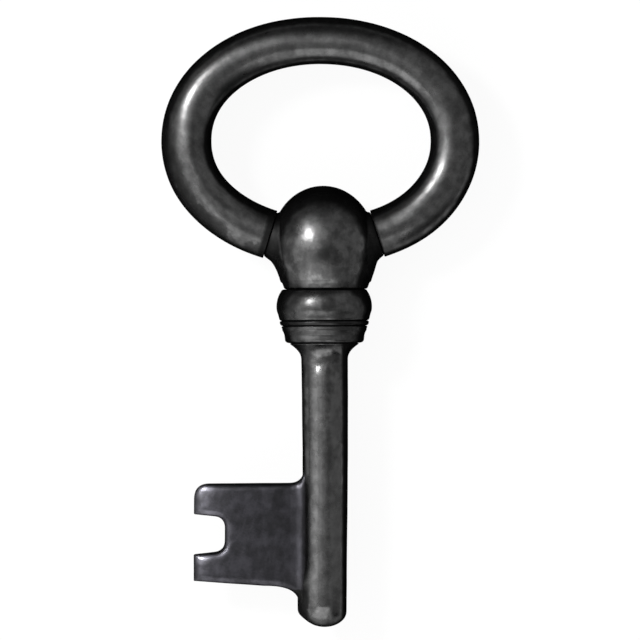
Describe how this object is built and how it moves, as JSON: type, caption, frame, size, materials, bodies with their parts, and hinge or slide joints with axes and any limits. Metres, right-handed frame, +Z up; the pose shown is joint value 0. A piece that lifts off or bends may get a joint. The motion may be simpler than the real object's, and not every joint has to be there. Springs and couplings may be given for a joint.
{
  "type": "pewter key",
  "caption": "Dark pewter key with an oval bow, a ball knop on turned collars, a round shank and a flat bit with a square notch.",
  "frame": {"origin": "on the surface that the key lies on, under the middle of its length and width", "axes": "+Y along the shank from its tip to the bow, -X towards the bit, +Z up out of the front of the key"},
  "size_m": [0.0394, 0.076, 0.0127],
  "materials": {
    "dark_pewter": "blackened cast pewter, satin, with grain, handling marks and rubbed edges"
  },
  "bodies": {
    "root": {"bow": "dark_pewter", "knop": "dark_pewter", "upper_collar": "dark_pewter", "collar_ring": "dark_pewter", "lower_collar": "dark_pewter", "shank": "dark_pewter", "bit": "dark_pewter"}
  },
  "joints": []
}
